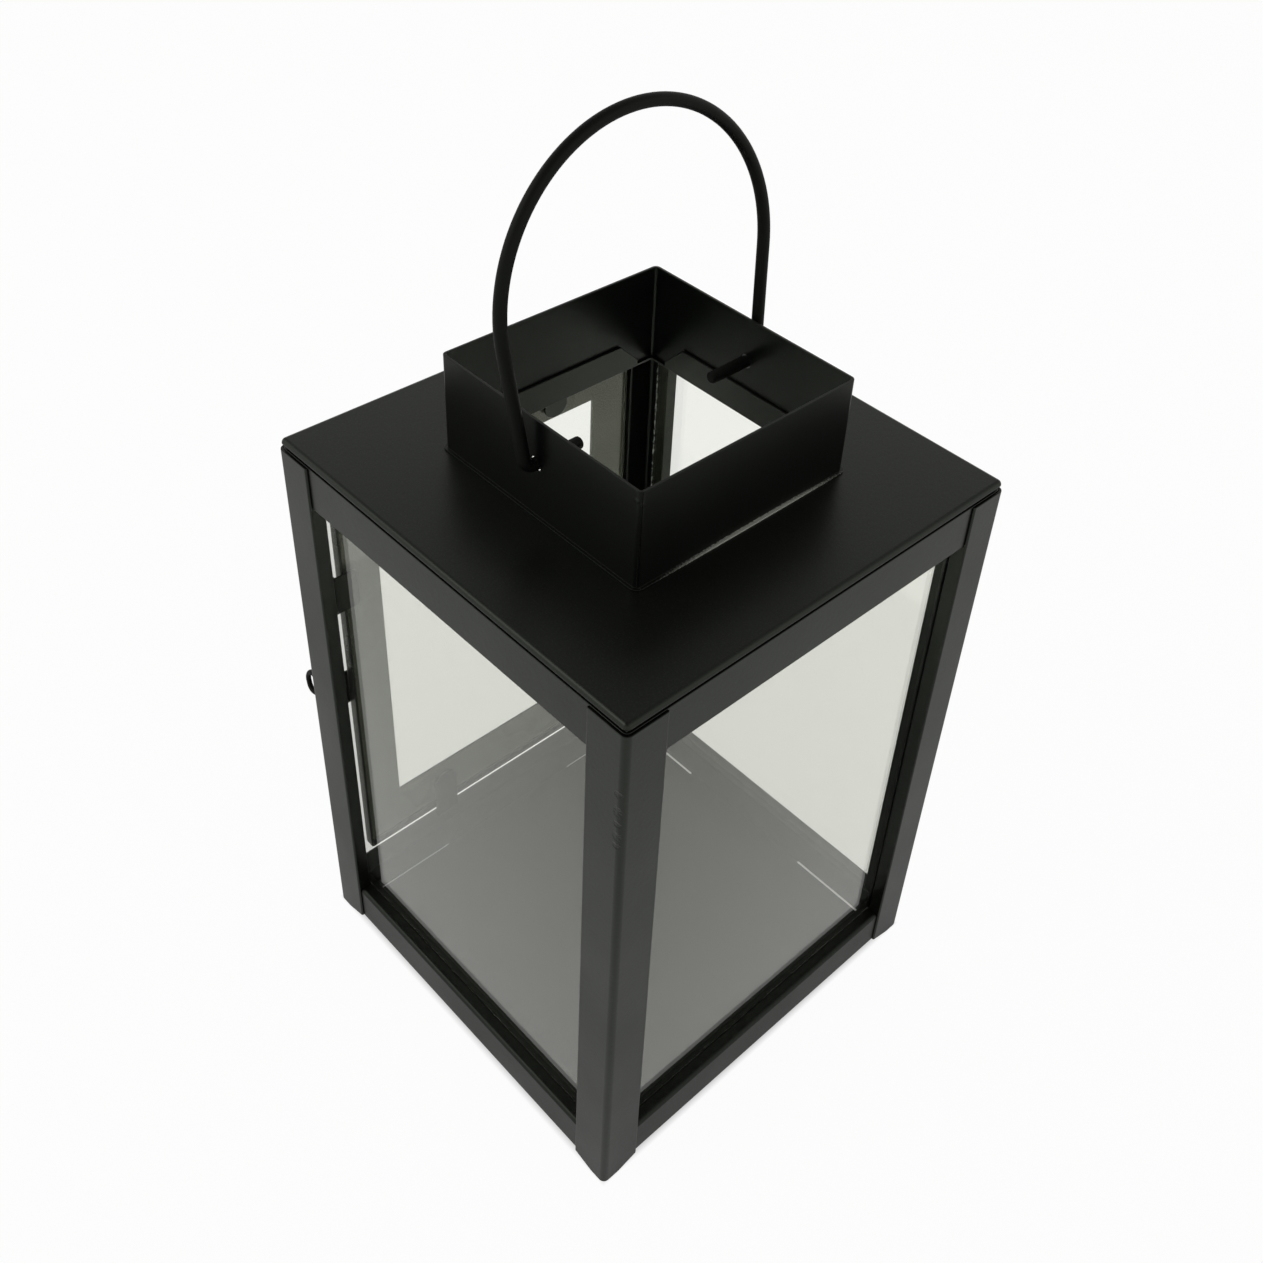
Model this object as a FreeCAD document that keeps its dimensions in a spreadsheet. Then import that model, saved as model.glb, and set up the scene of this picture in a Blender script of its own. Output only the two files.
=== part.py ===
"""Square candle lantern: a folded sheet frame with glass walls, a hinged glass door and a wire bail.

Millimetres, +Z up, origin at the middle of the footprint in the plane that the four feet stand on.
The door is the -X wall, its hinges are at the +Y end of that wall and its latch is at the -Y end.
"""
import FreeCAD, Part
import math
import os
import re
import Sketcher

DOC = FreeCAD.newDocument("candle_lantern")

# Driving dimensions: name, millimetres (degrees for a lean) and what it measures
SIZES = (
    ("sheet", 0.8, "thickness of every folded sheet"),
    ("seat_gap", 0.1, "gap between pieces that only lie against each other"),
    ("body_height", 201.0, "feet to the top of the lid"),
    ("cap_side", 140.0, "side of the square lid"),
    ("lid_rim", 1.7, "height of the lid's turned-down rim"),
    ("lid_bend", 1.5, "outer radius of the lid's edge"),
    ("groove", 1.3, "dark groove between the lid's rim and the skirt"),
    ("skirt_height", 14.0, "visible face of the top rail"),
    ("neck_inset", 0.9, "step from the skirt's face in to the neck that carries the lid"),
    ("corner_bend", 1.5, "outer corner radius of the tray and the top rail"),
    ("post_proud", 0.5, "how far a post's face stands outside the lid's side"),
    ("post_flange", 13.5, "width of a post's flange on a fixed pane's side"),
    ("door_flange", 11.5, "width of a post's plain flange on the door's side"),
    ("post_return", 4.5, "depth of a flange's turned-in edge, face to end"),
    ("post_fold", 2.0, "outer radius of a post's fold"),
    ("edge_bend", 0.6, "outer radius of a flange's turned-in edge"),
    ("post_drop", 3.2, "top of the lid down to the posts' upper ends"),
    ("foot_height", 2.0, "feet below the bottom rails"),
    ("foot_flat", 6.0, "flat end of a foot, from its fold along a flange"),
    ("rail_height", 14.0, "height of the bottom rails, up to the ledge"),
    ("ledge_width", 7.9, "ledge that the glass stands on, from the rails' faces in"),
    ("tab_width", 56.0, "length of the tab that carries the floor on each side"),
    ("tab_depth", 4.0, "how far a tab reaches in under the floor"),
    ("floor_gap", 1.2, "floor's edges clear of the walls round it"),
    ("floor_shift", 0.6, "floor's middle towards the door"),
    ("glass", 2.0, "thickness of the panes"),
    ("pane_overlap", 4.5, "how far a pane reaches behind a flange's edge"),
    ("bead_leg", 6.6, "leg of the angle that holds the panes at a far corner"),
    ("collar_side", 76.6, "outer side of the chimney collar"),
    ("collar_height", 30.0, "lid to the collar's rim"),
    ("collar_bend", 1.6, "outer corner radius of the collar"),
    ("hem_width", 0.9, "width of the hem round the collar's foot"),
    ("hem_height", 0.5, "height of that hem"),
    ("seam_gap", 0.12, "open seam in the collar's near corner"),
    ("flap_height", 8.2, "flaps turned up round the hole, above the lid"),
    ("flap_foot", 62.0, "length of a flap at its foot"),
    ("flap_crest", 48.0, "length of a flap at its upper edge"),
    ("wire", 3.5, "diameter of the bail's wire"),
    ("wire_clear", 0.35, "radial play of the bail in its holes"),
    ("axis_height", 16.5, "lid up to the bail's axis"),
    ("bail_tips", 47.0, "between the bail's two inner ends"),
    ("bail_bend", 3.0, "centre-line radius of the bends outside the collar"),
    ("bail_gap", 0.4, "collar's face to the start of a bend"),
    ("bail_radius", 44.7, "centre-line radius of the bail's arch"),
    ("bail_height", 82.0, "axis to the top of the arch's centre line"),
    ("bail_lean", 6.9, "lean of the bail towards the door, in degrees"),
    ("tip_bevel", 0.6, "bevel of the bail's ends"),
    ("door_proud", 0.3, "door's face outside the posts' faces"),
    ("door_depth", 4.0, "depth of the door's turned-in edges, face to end"),
    ("door_bend", 1.2, "outer radius of the door's edges"),
    ("latch_gap", 2.4, "latch post's flange to the door's edge"),
    ("hinge_gap", 0.8, "hinge post's flange to the door's edge"),
    ("door_sill", 3.7, "ledge to the door's lower edge"),
    ("door_head", 2.0, "door's upper edge to the skirt"),
    ("latch_stile", 14.5, "width of the door's stile at the latch"),
    ("hinge_stile", 16.0, "width of the door's stile at the hinges"),
    ("door_top_rail", 16.2, "height of the door's upper rail"),
    ("door_low_rail", 18.4, "height of the door's lower rail"),
    ("glass_play", 0.2, "door glass clear of the door's bends"),
    ("leaf_height", 16.0, "height of a hinge leaf"),
    ("leaf_width", 9.0, "flat width of a hinge leaf"),
    ("knuckle", 5.6, "height of a hinge's middle knuckle"),
    ("knuckle_gap", 0.3, "gap between knuckles"),
    ("barrel", 2.0, "outer radius of a hinge's knuckles"),
    ("barrel_off", 0.3, "knuckles clear of the door's face"),
    ("pin", 1.0, "radius of a hinge pin"),
    ("pin_clear", 0.06, "radial clearance of the pins and the latch eye"),
    ("pin_head", 1.6, "radius of a pin's head"),
    ("pin_cap", 0.6, "height of a pin's head"),
    ("hinge_inset", 30.0, "door's ends to the middle of a hinge"),
    ("stop_gap", 0.3, "door to the tongues that it closes against"),
    ("stop_width", 9.0, "width of the upper and lower tongues"),
    ("stop_round", 4.0, "rounding of a tongue's end"),
    ("upper_stop_reach", 15.0, "skirt down to the upper tongue's end"),
    ("lower_stop_reach", 20.0, "ledge up to the lower tongue's end"),
    ("stop_foot", 9.0, "height of the upper tongue's foot behind the skirt"),
    ("upper_stop_at", 24.0, "upper tongue's middle, from the door wall's middle"),
    ("lower_stop_at", -25.0, "lower tongue's middle, from the door wall's middle"),
    ("side_stop_at", 140.5, "side tongue's middle, from the feet"),
    ("side_stop_tall", 14.0, "height of the side tongue"),
    ("side_stop_lap", 5.0, "how far the side tongue laps behind the door"),
    ("latch_height", 96.5, "feet to the latch's axis"),
    ("latch_inset", 5.75, "post's corner to the latch's axis"),
    ("strap_height", 13.6, "height of the hasp strap"),
    ("strap_lap", 12.5, "strap on the door's stile"),
    ("strap_end", 4.4, "strap beyond the latch's axis"),
    ("strap_round", 1.5, "rounding of the strap's corners"),
    ("slot_length", 11.0, "slot in the strap, along the eye"),
    ("slot_width", 4.2, "slot in the strap, across the eye"),
    ("slot_shift", 0.5, "slot's middle beyond the latch's axis, for the door's swing"),
    ("eye_wire", 1.8, "thickness of the latch eye's ring"),
    ("eye_ring", 4.0, "centre-line radius of the eye"),
    ("eye_shank", 0.8, "radius of the eye's shank"),
    ("eye_stand", 2.6, "strap's face to the eye's ring"),
    ("washer", 2.6, "radius of the washer inside the post"),
    ("eye_head", 1.6, "radius of the eye's riveted end"),
)

# Places that several pieces share, as sums of the sizes
POST_OUT = "(cap_side / 2 + post_proud)"
SKIRT_OUT = f"({POST_OUT} - sheet)"
LEDGE = "(foot_height + rail_height)"
WELL = f"({SKIRT_OUT} - ledge_width)"
TAB_TOP = "(foot_height + sheet)"
LID_UNDER = "(body_height - sheet)"
SHOULDER = "(body_height - lid_rim - groove)"
SKIRT_LOW = f"({SHOULDER} - skirt_height)"
NECK_OUT = f"({SKIRT_OUT} - neck_inset)"
RETURN_END = f"({POST_OUT} - post_return)"
PANE_OUT = f"({RETURN_END} - seat_gap)"
PANE_IN = f"({PANE_OUT} - glass)"
PANE_HALF = f"({POST_OUT} - post_flange + pane_overlap)"
PANE_TOP = f"({LID_UNDER} - 3 * seat_gap)"
COLLAR_OUT = "(collar_side / 2)"
THROAT = f"({COLLAR_OUT} - 2 * sheet - seat_gap)"
BAIL_AXIS = "(body_height + axis_height)"
DOOR_OUT = f"({POST_OUT} + door_proud)"
DOOR_IN = f"({DOOR_OUT} - door_depth)"
FLANGE_EDGE = f"({POST_OUT} - door_flange)"
LATCH_EDGE = f"({FLANGE_EDGE} - latch_gap)"
HINGE_EDGE = f"({FLANGE_EDGE} - hinge_gap)"
DOOR_LOW = f"({LEDGE} + door_sill)"
DOOR_HIGH = f"({SKIRT_LOW} - door_head)"
HINGE_X = f"({DOOR_OUT} + barrel_off + barrel)"
HINGE_Y = f"({FLANGE_EDGE} - hinge_gap / 2)"
STOP_OUT = f"({DOOR_IN} - stop_gap)"
STOP_IN = f"({STOP_OUT} - sheet)"
LATCH_Y = f"({POST_OUT} - latch_inset)"
STRAP_OUT = f"({DOOR_OUT} + sheet)"
RING_MIDDLE = f"({STRAP_OUT} + eye_stand + eye_wire / 2 + eye_ring)"
WASHER_OUT = f"({SKIRT_OUT} - seat_gap)"
WASHER_IN = f"({WASHER_OUT} - sheet)"

X_AXIS = FreeCAD.Vector(1, 0, 0)
Y_AXIS = FreeCAD.Vector(0, 1, 0)
Z_AXIS = FreeCAD.Vector(0, 0, 1)
# Turns a piece drawn flat, across and up, so that it stands in the door wall
STAND_UP = FreeCAD.Rotation(FreeCAD.Vector(1, 1, 1), 120)
NEAR = 1e-4
# Flats round the section of a bent wire
WIRE_FLATS = 12


def make_sheet():
    """Put the driving dimensions in a spreadsheet with one named cell each."""
    table = DOC.addObject("Spreadsheet::Sheet", "Sizes")
    for row, (name, number, meaning) in enumerate(SIZES, start=1):
        table.set(f"A{row}", meaning)
        table.set(f"B{row}", str(number))
        table.setAlias(f"B{row}", name)
    DOC.recompute()
    return table


TABLE = make_sheet()


def formula(text):
    """Turn a sum written with the sizes' names into an expression on the spreadsheet."""
    return re.sub(r"[a-z][a-z_]+", r"Sizes.\g<0>", text)


def value(text):
    """Work out a sum of sizes as a number."""
    return float(TABLE.evalExpression(formula(text)))


def bind(thing, prop, text):
    """Tie a property to a sum of sizes."""
    thing.setExpression(prop, formula(text))


def new_body(name):
    """Start a body whose label is the piece's name."""
    body = DOC.addObject("PartDesign::Body", name)
    body.Label = name
    return body


def sketch_on(body, plane, offset="0"):
    """Start a sketch on one of the body's own planes, moved along that plane's normal."""
    sketch = body.newObject("Sketcher::SketchObject", "outline")
    support = next(feature for feature in body.Origin.OriginFeatures if feature.Role == plane)
    sketch.AttachmentSupport = [(support, "")]
    sketch.MapMode = "FlatFace"
    bind(sketch, "AttachmentOffset.Base.z", offset)
    return sketch


def hold(sketch, kind, place, text):
    """Add one dimension to a sketch and tie it to a sum of sizes."""
    number = sketch.addConstraint(Sketcher.Constraint(kind, *place, value(text)))
    bind(sketch, f"Constraints[{number}]", text)


def polygon(sketch, points):
    """Draw a closed outline whose corners are held at sums of sizes from the sketch's origin."""
    places = [FreeCAD.Vector(value(across), value(along), 0) for across, along in points]
    first = sketch.GeometryCount
    count = len(points)
    for i in range(count):
        sketch.addGeometry(Part.LineSegment(places[i], places[(i + 1) % count]), False)
    for i in range(count):
        joint = (first + i, 2, first + (i + 1) % count, 1)
        sketch.addConstraint(Sketcher.Constraint("Coincident", *joint))
    for i, (across, along) in enumerate(points):
        corner = (-1, 1, first + i, 1)
        hold(sketch, "DistanceX", corner, across)
        hold(sketch, "DistanceY", corner, along)


def rectangle(sketch, left, right, low, high):
    """Draw a rectangle between four sums of sizes."""
    polygon(sketch, [(left, low), (right, low), (right, high), (left, high)])


def square(sketch, half):
    """Draw a square round the sketch's origin."""
    rectangle(sketch, f"-{half}", half, f"-{half}", half)


def circle(sketch, across, along, radius):
    """Draw a circle at a place and with a radius that are sums of sizes."""
    middle = FreeCAD.Vector(value(across), value(along), 0)
    number = sketch.addGeometry(Part.Circle(middle, Z_AXIS, value(radius)), False)
    hold(sketch, "DistanceX", (-1, 1, number, 3), across)
    hold(sketch, "DistanceY", (-1, 1, number, 3), along)
    hold(sketch, "Radius", (number,), radius)


def wire_section(sketch, across, diameter):
    """Draw a bent wire's round section with a few flats, which keep its bends light."""
    turn = 2 * math.pi / WIRE_FLATS
    corners = [(math.cos(turn * (i + 0.5)) / 2, math.sin(turn * (i + 0.5)) / 2) for i in range(WIRE_FLATS)]
    polygon(sketch, [(f"{across} + {diameter} * {x:.6f}", f"{diameter} * {y:.6f}") for x, y in corners])


def pad(body, sketch, length, reverse=False):
    """Raise a sketch into a solid, or add it to the body's solid."""
    feature = body.newObject("PartDesign::Pad", "pad")
    feature.Profile = sketch
    feature.Reversed = reverse
    bind(feature, "Length", length)
    DOC.recompute()
    return feature


def cut(body, sketch, length, reverse=False):
    """Cut a sketch into the body, and make sure that it took material away."""
    before = body.Shape.Volume
    feature = body.newObject("PartDesign::Pocket", "cut")
    feature.Profile = sketch
    feature.Reversed = reverse
    bind(feature, "Length", length)
    DOC.recompute()
    if body.Shape.Volume > before - NEAR:
        raise ValueError(f"{body.Label}: a cut missed the solid")
    return feature


def edges(feature, test):
    """Name the straight edges of a feature whose middle and direction pass a test."""
    names = []
    for number, edge in enumerate(feature.Shape.Edges, start=1):
        run = edge.lastVertex().Point - edge.firstVertex().Point
        if run.Length > NEAR and test(edge.CenterOfMass, run.normalize()):
            names.append(f"Edge{number}")
    return names


def along(run, axis):
    """Say whether a direction lies along an axis, either way."""
    return abs(run.dot(axis)) > 1 - NEAR


def fillet(body, feature, radius, test):
    """Round the edges that pass a test."""
    rounding = body.newObject("PartDesign::Fillet", "fillet")
    rounding.Base = (feature, edges(feature, test))
    bind(rounding, "Radius", radius)
    DOC.recompute()
    return rounding


def shell(body, feature, *openings):
    """Hollow a solid to the sheet's thickness, open at the faces with these normals."""
    names = []
    for number, face in enumerate(feature.Shape.Faces, start=1):
        if isinstance(face.Surface, Part.Plane) and any(
                face.normalAt(0, 0).dot(normal) > 1 - NEAR for normal in openings):
            names.append(f"Face{number}")
    hollow = body.newObject("PartDesign::Thickness", "hollow")
    hollow.Base = (feature, names)
    hollow.Reversed = True
    bind(hollow, "Value", "sheet")
    DOC.recompute()
    return hollow


def block(name, low, high):
    """Make a flat rectangular piece between two corners."""
    piece = DOC.addObject("Part::Box", name)
    piece.Label = name
    for prop, start, end in zip(("Length", "Width", "Height"), low, high):
        bind(piece, prop, f"{end} - ({start})")
    for axis, start in zip("xyz", low):
        bind(piece, f"Placement.Base.{axis}", start)
    return piece


def group(name, members):
    """Join identical pieces in one node, as separate solids."""
    compound = DOC.addObject("Part::Compound", name)
    compound.Label = name
    compound.Links = members
    return compound


def base_tray():
    """Bottom rails, folded over a ledge for the glass, down inside it and in to four tabs for the floor."""
    body = new_body("base_tray")
    outline = sketch_on(body, "XY_Plane", "foot_height")
    square(outline, SKIRT_OUT)
    solid = pad(body, outline, "rail_height")
    ledge = value(LEDGE)
    rounded = fillet(body, solid, "corner_bend",
                     lambda middle, run: along(run, Z_AXIS) or abs(middle.z - ledge) < NEAR)
    shell(body, rounded, -Z_AXIS)
    hole = sketch_on(body, "XY_Plane", LEDGE)
    square(hole, WELL)
    cut(body, hole, "sheet")
    inside = sketch_on(body, "XY_Plane", TAB_TOP)
    square(inside, f"({WELL} + sheet)")
    square(inside, WELL)
    folded = pad(body, inside, "rail_height - sheet")
    wall = value(WELL) + NEAR
    fillet(body, folded, "edge_bend",
           lambda middle, run: abs(middle.z - ledge) < NEAR and max(abs(middle.x), abs(middle.y)) < wall)
    tabs = sketch_on(body, "XY_Plane", "foot_height")
    half, root, end = "tab_width / 2", f"({WELL} + sheet)", f"({WELL} - tab_depth)"
    rectangle(tabs, f"-{half}", half, end, root)
    rectangle(tabs, f"-{half}", half, f"-{root}", f"-{end}")
    rectangle(tabs, end, root, f"-{half}", half)
    rectangle(tabs, f"-{root}", f"-{end}", f"-{half}", half)
    pad(body, tabs, "sheet")
    return body


def floor_plate():
    """Plate that the candle stands on. It lies on the tray's tabs, nearer to the door than to the far wall."""
    half = f"({WELL} - floor_gap)"
    low = f"({TAB_TOP} + seat_gap)"
    return block("floor_plate", (f"-{half} - floor_shift", f"-{half}", low),
                 (f"{half} - floor_shift", half, f"({low} + sheet)"))


def top_rail():
    """Skirt frame under the lid: a face, a shoulder and a neck that the lid sits on."""
    body = new_body("top_rail")
    outline = sketch_on(body, "XY_Plane", SKIRT_LOW)
    square(outline, SKIRT_OUT)
    solid = pad(body, outline, "skirt_height")
    rounded = fillet(body, solid, "corner_bend", lambda middle, run: along(run, Z_AXIS))
    shell(body, rounded, -Z_AXIS)
    neck = sketch_on(body, "XY_Plane", SHOULDER)
    square(neck, NECK_OUT)
    pad(body, neck, f"{LID_UNDER} - {SHOULDER}")
    inside = sketch_on(body, "XY_Plane", LID_UNDER)
    square(inside, f"({NECK_OUT} - sheet)")
    cut(body, inside, f"{LID_UNDER} - {SKIRT_LOW}")
    return body


def cap_lid():
    """Pressed lid with a rounded rim and a square hole, whose four flaps stand up round it."""
    body = new_body("cap_lid")
    outline = sketch_on(body, "XY_Plane", "body_height - lid_rim")
    square(outline, "(cap_side / 2)")
    solid = pad(body, outline, "lid_rim")
    top = value("body_height")
    rounded = fillet(body, solid, "lid_bend",
                     lambda middle, run: along(run, Z_AXIS) or abs(middle.z - top) < NEAR)
    shell(body, rounded, -Z_AXIS)
    hole = sketch_on(body, "XY_Plane", "body_height")
    square(hole, THROAT)
    cut(body, hole, "lid_rim")
    flap = sketch_on(body, "XZ_Plane", THROAT)
    crest = "body_height + flap_height"
    polygon(flap, [("-flap_foot / 2", LID_UNDER), ("flap_foot / 2", LID_UNDER),
                   ("flap_foot / 2", f"{crest} - (flap_foot - flap_crest) / 2"), ("flap_crest / 2", crest),
                   ("-flap_crest / 2", crest), ("-flap_foot / 2", f"{crest} - (flap_foot - flap_crest) / 2")])
    raised = pad(body, flap, "sheet")
    around = body.newObject("PartDesign::PolarPattern", "flaps")
    around.Originals = [raised]
    around.Axis = (next(axis for axis in body.Origin.OriginFeatures if axis.Role == "Z_Axis"), [""])
    around.Angle = 360
    around.Occurrences = 4
    body.Tip = around
    DOC.recompute()
    return body


def chimney_collar():
    """Folded strip that stands on the lid, seamed at one corner, with a hole in two walls for the bail."""
    body = new_body("chimney_collar")
    outline = sketch_on(body, "XY_Plane", "body_height")
    square(outline, COLLAR_OUT)
    solid = pad(body, outline, "collar_height")
    rounded = fillet(body, solid, "collar_bend", lambda middle, run: along(run, Z_AXIS))
    shell(body, rounded, Z_AXIS, -Z_AXIS)
    hem = sketch_on(body, "XY_Plane", "body_height")
    square(hem, f"({COLLAR_OUT} + hem_width)")
    square(hem, f"({COLLAR_OUT} - sheet / 2)")
    ring = pad(body, hem, "hem_height")
    reach = value(f"{COLLAR_OUT} + hem_width")
    fillet(body, ring, "collar_bend + hem_width",
           lambda middle, run: along(run, Z_AXIS) and min(abs(middle.x), abs(middle.y)) > reach - NEAR)
    holes = sketch_on(body, "XZ_Plane", f"-{COLLAR_OUT} - hem_width")
    circle(holes, "0", BAIL_AXIS, "wire / 2 + wire_clear")
    cut(body, holes, "collar_side + 2 * hem_width", reverse=True)
    seam = sketch_on(body, "XY_Plane", "body_height")
    rectangle(seam, f"{COLLAR_OUT} - 2 * sheet", f"{COLLAR_OUT} + 2 * hem_width",
              f"-{COLLAR_OUT} + sheet", f"-{COLLAR_OUT} + sheet + seam_gap")
    cut(body, seam, "collar_height", reverse=True)
    return body


def corner_post(name, corner, turn, first_flange, second_flange):
    """Folded corner angle that stands on its fold. A flange is its width and whether its edge is turned in."""
    body = new_body(name)
    first, first_turned = first_flange
    second, second_turned = second_flange
    outline = sketch_on(body, "XY_Plane")
    polygon(outline, [("0", "0"), (first, "0"), (first, "sheet"), ("sheet", "sheet"),
                      ("sheet", second), ("0", second)])
    feature = pad(body, outline, "body_height - post_drop")
    thickness = value("sheet")
    feature = fillet(body, feature, "post_fold",
                     lambda middle, run: along(run, Z_AXIS) and max(middle.x, middle.y) < NEAR)
    feature = fillet(body, feature, "post_fold - sheet",
                     lambda middle, run: along(run, Z_AXIS) and abs(middle.x - thickness) < NEAR
                     and abs(middle.y - thickness) < NEAR)
    for plane, width, flip in (("XZ_Plane", first, False), ("YZ_Plane", second, True)):
        slope = sketch_on(body, plane)
        polygon(slope, [("foot_flat", "0"), (width, "0"), (width, "foot_height")])
        feature = cut(body, slope, "sheet", reverse=flip)
    edge_length = f"{SKIRT_LOW} - {LEDGE} - 2 * seat_gap"
    ends = []
    if first_turned:
        edge = sketch_on(body, "XY_Plane", f"{LEDGE} + seat_gap")
        rectangle(edge, f"{first} - sheet", first, "0", "post_return")
        feature = pad(body, edge, edge_length)
        ends.append((value(first), 0))
    if second_turned:
        edge = sketch_on(body, "XY_Plane", f"{LEDGE} + seat_gap")
        rectangle(edge, "0", "post_return", f"{second} - sheet", second)
        feature = pad(body, edge, edge_length)
        ends.append((0, value(second)))
    feature = fillet(body, feature, "edge_bend",
                     lambda middle, run: along(run, Z_AXIS)
                     and any(math.hypot(middle.x - x, middle.y - y) < NEAR for x, y in ends))
    side_x, side_y = corner
    place = FreeCAD.Vector(side_x * value(POST_OUT), side_y * value(POST_OUT), 0)
    body.Placement = FreeCAD.Placement(place, FreeCAD.Rotation(Z_AXIS, turn))
    return body


def posts():
    """Four corner posts: the two beside the door have one plain, narrower flange."""
    turned = ("post_flange", True)
    plain = ("door_flange", False)
    latch = corner_post("latch_post", (-1, -1), 0, turned, plain)
    hole = sketch_on(latch, "YZ_Plane")
    circle(hole, "latch_inset", "latch_height", "eye_shank + pin_clear")
    cut(latch, hole, "sheet", reverse=True)
    return [latch,
            corner_post("far_post_latch_side", (1, -1), 90, turned, turned),
            corner_post("far_post_hinge_side", (1, 1), 180, turned, turned),
            corner_post("hinge_post", (-1, 1), 270, plain, turned)]


def panes():
    """Three fixed panes that stand on the ledge behind the posts' turned-in edges."""
    return [block("latch_side_pane", (f"-{PANE_HALF}", f"-{PANE_OUT}", LEDGE),
                  (PANE_HALF, f"-{PANE_IN}", PANE_TOP)),
            block("hinge_side_pane", (f"-{PANE_HALF}", PANE_IN, LEDGE), (PANE_HALF, PANE_OUT, PANE_TOP)),
            block("far_pane", (PANE_IN, f"-{PANE_HALF}", LEDGE), (PANE_OUT, PANE_HALF, PANE_TOP))]


def far_bead(name, turn):
    """Angle inside a far corner that keeps two panes against the post."""
    body = new_body(name)
    outer = f"({PANE_IN} - seat_gap)"
    outline = sketch_on(body, "XY_Plane", LEDGE)
    polygon(outline, [(outer, f"-{outer}"), (outer, f"-{outer} + bead_leg"),
                      (f"{outer} - sheet", f"-{outer} + bead_leg"), (f"{outer} - sheet", f"-{outer} + sheet"),
                      (f"{outer} - bead_leg", f"-{outer} + sheet"), (f"{outer} - bead_leg", f"-{outer}")])
    solid = pad(body, outline, f"{PANE_TOP} - {LEDGE}")
    corner = value(outer)
    fillet(body, solid, "edge_bend",
           lambda middle, run: along(run, Z_AXIS) and middle.x > corner - NEAR and middle.y < NEAR - corner)
    body.Placement = FreeCAD.Placement(FreeCAD.Vector(), FreeCAD.Rotation(Z_AXIS, turn))
    return body


def bail_handle():
    """Bent wire: two ends along the axis, a bend outside each wall, two legs and a round arch."""
    body = new_body("bail_handle")
    tip, start, bend = value("bail_tips / 2"), value(f"{COLLAR_OUT} + bail_gap"), value("bail_bend")
    radius, rise = value("bail_radius"), value("bail_height - bail_radius")
    # The legs touch the bend and the arch, which fixes how far they lean out
    lean = math.atan2(rise - bend, start) - math.acos((radius - bend) / math.hypot(start, rise - bend))
    outward = FreeCAD.Vector(math.cos(lean), -math.sin(lean), 0)
    mirrored = FreeCAD.Vector(-outward.x, outward.y, 0)
    arch = FreeCAD.Vector(0, rise, 0)
    path = sketch_on(body, "YZ_Plane")
    near_bend, far_bend = FreeCAD.Vector(-start, bend, 0), FreeCAD.Vector(start, bend, 0)
    quarter = math.pi / 2
    path.addGeometry([
        Part.LineSegment(FreeCAD.Vector(-tip, 0, 0), FreeCAD.Vector(-start, 0, 0)),
        Part.ArcOfCircle(Part.Circle(near_bend, Z_AXIS, bend), 2 * quarter + lean, 3 * quarter),
        Part.LineSegment(near_bend + mirrored * bend, arch + mirrored * radius),
        Part.ArcOfCircle(Part.Circle(arch, Z_AXIS, radius), -lean, 2 * quarter + lean),
        Part.LineSegment(arch + outward * radius, far_bend + outward * bend),
        Part.ArcOfCircle(Part.Circle(far_bend, Z_AXIS, bend), -quarter, -lean),
        Part.LineSegment(FreeCAD.Vector(start, 0, 0), FreeCAD.Vector(tip, 0, 0)),
    ], False)
    for joint in ((0, 2, 1, 2), (1, 1, 2, 1), (2, 2, 3, 2), (3, 1, 4, 1), (4, 2, 5, 2), (5, 1, 6, 1)):
        path.addConstraint(Sketcher.Constraint("Tangent", *joint))
    for line in (0, 6):
        path.addConstraint(Sketcher.Constraint("Horizontal", line))
    for point, across in (((0, 1), "-bail_tips / 2"), ((6, 2), "bail_tips / 2")):
        hold(path, "DistanceX", (-1, 1, *point), across)
        hold(path, "DistanceY", (-1, 1, *point), "0")
    hold(path, "DistanceX", (-1, 1, 1, 3), f"-{COLLAR_OUT} - bail_gap")
    hold(path, "DistanceX", (-1, 1, 5, 3), f"{COLLAR_OUT} + bail_gap")
    hold(path, "DistanceX", (-1, 1, 3, 3), "0")
    hold(path, "DistanceY", (-1, 1, 3, 3), "bail_height - bail_radius")
    for arc, size in ((1, "bail_bend"), (3, "bail_radius"), (5, "bail_bend")):
        hold(path, "Radius", (arc,), size)
    section = sketch_on(body, "XZ_Plane", "bail_tips / 2")
    wire_section(section, "0", "wire")
    pipe = body.newObject("PartDesign::AdditivePipe", "wire")
    pipe.Profile = section
    pipe.Spine = path
    DOC.recompute()
    bevel = body.newObject("PartDesign::Chamfer", "ends")
    bevel.Base = (pipe, edges(pipe, lambda middle, run: abs(abs(middle.y) - tip) < NEAR))
    bind(bevel, "Size", "tip_bevel")
    DOC.recompute()
    tilt = FreeCAD.Rotation(Y_AXIS, -value("bail_lean"))
    body.Placement = FreeCAD.Placement(FreeCAD.Vector(0, 0, value(BAIL_AXIS)), tilt)
    return body


def door_frame():
    """Pressed door frame: a flat face with a window, and all four outer edges turned in.

    It is drawn lying on its face, across and up as in the wall, and then stood up in the wall.
    """
    body = new_body("door_frame")
    outline = sketch_on(body, "XY_Plane")
    rectangle(outline, f"-{LATCH_EDGE}", HINGE_EDGE, DOOR_LOW, DOOR_HIGH)
    solid = pad(body, outline, "door_depth")
    rounded = fillet(body, solid, "door_bend", lambda middle, run: along(run, Z_AXIS) or middle.z < NEAR)
    shell(body, rounded, Z_AXIS)
    window = sketch_on(body, "XY_Plane")
    rectangle(window, f"-{LATCH_EDGE} + latch_stile", f"{HINGE_EDGE} - hinge_stile",
              f"{DOOR_LOW} + door_low_rail", f"{DOOR_HIGH} - door_top_rail")
    cut(body, window, "door_depth", reverse=True)
    body.Placement = FreeCAD.Placement(FreeCAD.Vector(value(f"-{DOOR_OUT}"), 0, 0), STAND_UP)
    return body


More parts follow.
